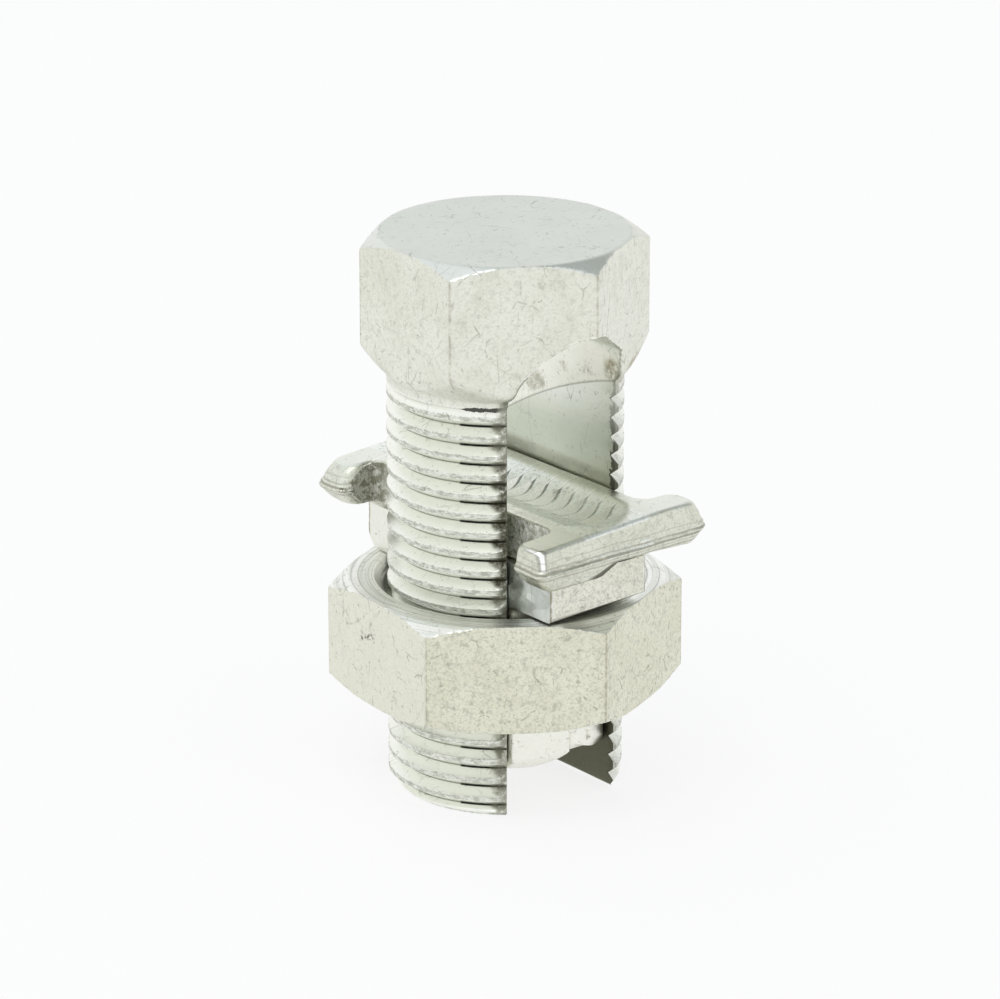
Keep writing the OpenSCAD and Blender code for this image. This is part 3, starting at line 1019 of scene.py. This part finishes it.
def finish_trough(t):
    """A grainy trough with smooth teeth; painted light makes the floor pale and cool and the teeth white,
    and painted shade shows the teeth's walls as dark rims.
    """
    # painted light: the trough's upward floor is painted pale and cool
    floor = t.times(t.ramp(t.size(t.x), 4.0, 3.6), t.ramp(t.nz, 0.4, 0.6))
    t.blend(t.times(floor, 0.9), (0.92, 0.95, 0.90))
    grains = t.ramp(t.wear(2600, 3, 0.75), 0.50, 0.62)
    t.blend(t.times(floor, grains, 0.5), (0.50, 0.51, 0.45), 0.45)

    # the same row of bites as tooth_bites cuts
    start = (-(SPACER_X + TOOTH_X) * MM, 0, 0)
    turned = t.mapping(t.place, location=start, turn=(0, 0, -(SPACER_YAW + TOOTH_TURN)))
    across, run = (t.times(c, 1 / MM) for c in t.parts(turned)[:2])
    last = TOOTH_COUNT // 2
    row = t.lowest(t.highest(t.math("ROUND", t.over(run, TOOTH_PITCH)), -last), last)
    local = t.minus(t.minus(run, t.times(row, TOOTH_PITCH)), TOOTH_LONG / 2)
    share = t.over(t.plus(across, TOOTH_HALF), 2 * TOOTH_HALF, clamp=True)
    reach = t.math("SINE", t.times(t.math("POWER", share, TOOTH_SKEW), math.pi))
    past_wall = t.times(t.plus(local, t.times(reach, TOOTH_LONG)), -1.0)
    # the teeth's floors are smooth, and painted white as painted light
    leaf = t.times(t.ramp(past_wall, 0.0, -0.06), t.ramp(local, 0.16, 0.06), 0.95)
    t.blend(leaf, (1.0, 1.0, 1.0), 0.22)
    # painted shade: a dark rim along each tooth's curved wall
    rim_shade = t.times(
        t.ridge(past_wall, -0.11, 0.10, 0.24),
        t.ramp(local, 0.02, -0.16),
        t.ramp(t.cloud, 0.35, 0.6, 0.5, 0.95),
        t.ramp(t.nz, -0.2, 0.0),
    )
    t.blend(rim_shade, (0.22, 0.24, 0.20), 0.4)


def finish_torn_sides(t):
    """The web's sides and the wings' inner faces, torn rough, the chips painted bright as painted light,
    and the back wing's inner face darkened by painted reflection.
    """
    steep = t.ramp(t.size(t.nz), 0.35, 0.2)
    inner = t.times(steep, t.ramp(t.size(t.y), 13.3, 13.0))
    chips = t.ramp(t.wear(1500, 4, 0.75), 0.40, 0.60)
    # torn chips, painted bright as painted light
    t.blend(t.times(inner, 0.9), t.mix(chips, (0.97, 0.98, 0.92), (0.52, 0.52, 0.43)), 0.55)
    t.raise_by(t.times(inner, chips), 2.5)
    # painted reflection: the back wing's inner face is darker
    back = t.times(steep, t.ramp(t.y, 11.5, 12.0), t.ramp(t.y, 13.3, 13.1))
    t.blend(t.times(back, t.ramp(chips, 0.2, 0.8, 0.4, 0.85)), (0.34, 0.34, 0.26), 0.5)


# height, width and darkness of the grey lines along the wings' moulding ridge
RIDGE_LINES = (
    (2.22, 0.18, 0.75),
    (1.55, 0.14, 0.45),
    (1.85, 0.08, 0.4),
    (2.62, 0.12, 0.5),
    (3.2, 0.10, 0.3),
)


def finish_wings(t):
    """A polished nose with a painted highlight and a ring of painted dark reflection, painted shade in the
    hollow where the moulding was not filled, and grey lines along the ridge.
    """
    up = t.minus(t.z, spacer_lo[2])
    nose = t.times(t.ramp(t.x, -7.0, -7.8), t.ramp(t.y, -14.2, -15.0), t.ramp(up, 2.3, 2.6))
    # painted reflection: a dark ring around the nose's rounded corner
    nose_dark_reflection = t.times(t.ramp(t.nx, -0.03, -0.15), t.ramp(t.nx, -0.95, -0.80), 0.75)
    t.blend(t.times(nose, nose_dark_reflection), (0.40, 0.41, 0.36), 0.2)
    # painted highlight: the polished corner is painted white
    polished_highlight = t.times(t.ramp(t.nx, -0.22, -0.36), t.ramp(t.nx, -0.75, -0.60))
    t.blend(t.times(nose, polished_highlight), (1.0, 1.0, 1.0), 0.1)

    wing = t.ramp(t.size(t.y), 12.5, 13.1)
    # painted shade: a dark crescent where the wing's edge is hollowed underneath
    along = t.times(t.x, t.math("SIGN", t.times(t.y, -1.0)))
    hollow = t.minus(up, t.ramp(along, -3.0, -0.4, 0.30, 1.30))
    part = t.times(t.ramp(along, -3.6, -2.4), t.ramp(along, 1.4, 0.0))
    t.blend(t.times(wing, t.ramp(hollow, 0.45, 0.05), part, 0.85), (0.10, 0.095, 0.065), 0.6)
    wobble = t.plus(up, t.times(t.minus(t.wear(500, 3, 0.6), 0.5), 0.35))
    for height, width, dark in RIDGE_LINES:
        line = t.ridge(wobble, height, width * 0.3, width)
        t.blend(t.times(wing, line, dark), (0.30, 0.29, 0.23), 0.45)


def spacer_material():
    t = Tin("spacer_tin", (0.76, 0.775, 0.685), seed=0.77, scuffs=0.9, grain=2.3)
    # painted light: faces turned upwards are painted paler
    t.blend(t.ramp(t.nz, 0.80, 0.94, 0.0, 0.85), (0.86, 0.88, 0.81))
    for zone in (finish_trough, finish_torn_sides, finish_wings):
        zone(t)
    return t.finish()


# ---- Studio ----


def toward(azimuth, elevation):
    """The unit vector from the object towards a camera or lamp at these angles, in degrees."""
    a, e = math.radians(azimuth), math.radians(elevation)
    return Vector((math.sin(a) * math.cos(e), -math.cos(a) * math.cos(e), math.sin(e)))


def place_object(name, data, location, back):
    """Puts a camera or lamp into the scene, looking away from back."""
    obj = bpy.data.objects.new(name, data)
    obj.location = location
    obj.rotation_mode = "QUATERNION"
    obj.rotation_quaternion = (-back).to_track_quat("-Z", "Y")
    bpy.context.scene.collection.objects.link(obj)
    return obj


def make_floor():
    """Pale paper, seen by the camera as nearly white with the object's soft shadow on it."""
    mesh = bpy.data.meshes.new("floor")
    s = 4.0
    mesh.from_pydata([(-s, -s, 0), (s, -s, 0), (s, s, 0), (-s, s, 0)], [], [(0, 1, 2, 3)])
    floor = bpy.data.objects.new("floor", mesh)
    bpy.context.scene.collection.objects.link(floor)
    n = Surface("floor_paper")
    n.shader.inputs["Base Color"].default_value = (0.92, 0.92, 0.92, 1)
    n.shader.inputs["Roughness"].default_value = 0.9
    white = n.add("ShaderNodeEmission")
    white.inputs["Color"].default_value = (1, 1, 1, 1)
    white.inputs["Strength"].default_value = 1.0
    mix = n.add("ShaderNodeMixShader")
    n.link(n.times(n.seen_directly(), 0.8), mix.inputs["Fac"])
    n.link(n.shader.outputs[0], mix.inputs[1])
    n.link(white.outputs[0], mix.inputs[2])
    n.link(mix.outputs[0], n.out.inputs["Surface"])
    mesh.materials.append(n.material)


def make_world():
    """A white room, a little cooler overhead, with one grey patch high on the right."""
    world = bpy.data.worlds.new("studio")
    bpy.context.scene.world = world
    world.use_nodes = True
    n = Nodes(world.node_tree)
    out = n.add("ShaderNodeOutputWorld")
    sky = n.add("ShaderNodeBackground")
    direction = n.add("ShaderNodeTexCoord").outputs["Generated"]
    height = n.parts(direction)[2]
    colour = n.mix(n.ramp(height, 0.30, 0.75), (1.0, 1.0, 1.0), (0.93, 0.96, 0.98))
    patch = n.add("ShaderNodeVectorMath", operation="DOT_PRODUCT")
    n.link(direction, patch.inputs[0])
    patch.inputs[1].default_value = (0.62, 0.05, 0.78)
    colour = n.mix(n.ramp(patch.outputs["Value"], 0.80, 0.97), colour, (0.42, 0.45, 0.45))
    n.link(colour, sky.inputs["Color"])
    sky.inputs["Strength"].default_value = 1.0
    n.link(sky.outputs[0], out.inputs["Surface"])


def make_lamp():
    """One warm-white soft box, high on the left, aimed at the middle of the object."""
    data = bpy.data.lights.new("key", "AREA")
    data.shape = "RECTANGLE"
    data.size = data.size_y = 0.30
    data.energy = 0.8
    data.color = (1.0, 0.99, 0.97)
    back = toward(-64, 66)
    place_object("key", data, back * 0.9 + Vector((0, 0, 0.025)), back)


def make_camera():
    """The photograph's own view: from the front left, a little above."""
    azimuth, elevation, distance = -38.2, 19.4, 0.507
    across, height = -0.00048, 0.0274
    data = bpy.data.cameras.new("camera")
    data.sensor_width = 36
    data.lens = 36 * 5.481
    data.clip_start, data.clip_end = 0.05, 20
    back = toward(azimuth, elevation)
    right = toward(azimuth + 90, 0)
    aim = right * across + Vector((0, 0, height))
    bpy.context.scene.camera = place_object("camera", data, aim + back * distance, back)


# ---- The scene ----

for piece, node, body, slot in (
    (make_bolt(bolt_material()), "split_bolt", "bolt", "bolt_tin"),
    (make_nut(nut_material()), "nut", "nut", "nut_tin"),
    (make_bar(bar_material()), "pressure_bar", "clamp", "bar_tin"),
    (make_spacer(spacer_material()), "spacer", "spacer", "spacer_tin"),
):
    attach(piece, body)
    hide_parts(node)

make_floor()
make_world()
make_lamp()
make_camera()

scene = bpy.context.scene
scene.view_settings.view_transform = "Standard"
